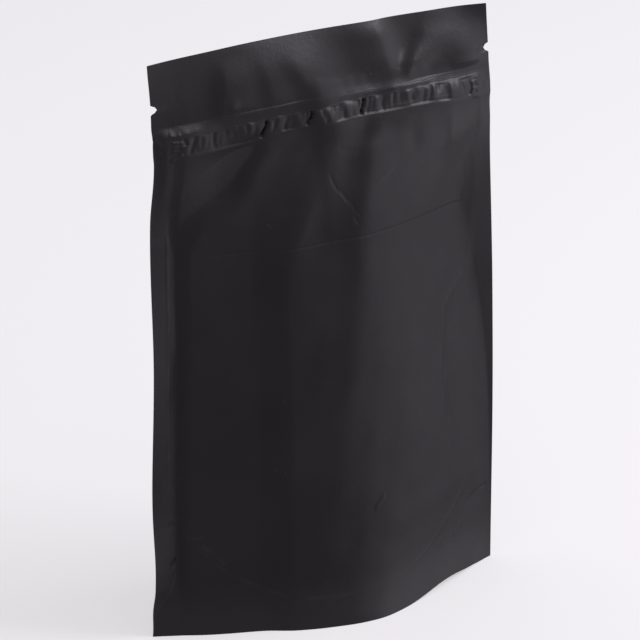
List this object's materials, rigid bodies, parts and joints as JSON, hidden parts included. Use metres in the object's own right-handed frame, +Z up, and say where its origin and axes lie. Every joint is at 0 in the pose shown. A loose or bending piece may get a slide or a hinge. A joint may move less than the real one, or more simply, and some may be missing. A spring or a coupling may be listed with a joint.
{
  "type": "zipper pouch",
  "caption": "Stand-up zipper pouch of matt black film, shut, with a press-to-close zip, tear notches, side seals and an opened bottom gusset to stand on.",
  "frame": {"origin": "on the floor, under the middle of the pouch's bounding box", "axes": "+Z up, front panel faces -Y, +X to the right of someone looking at the front panel"},
  "size_m": [0.1482, 0.0566, 0.2229],
  "materials": {
    "film": "matt laminated film with a soft sheen"
  },
  "bodies": {
    "root": {"pouch": "film"}
  },
  "joints": []
}
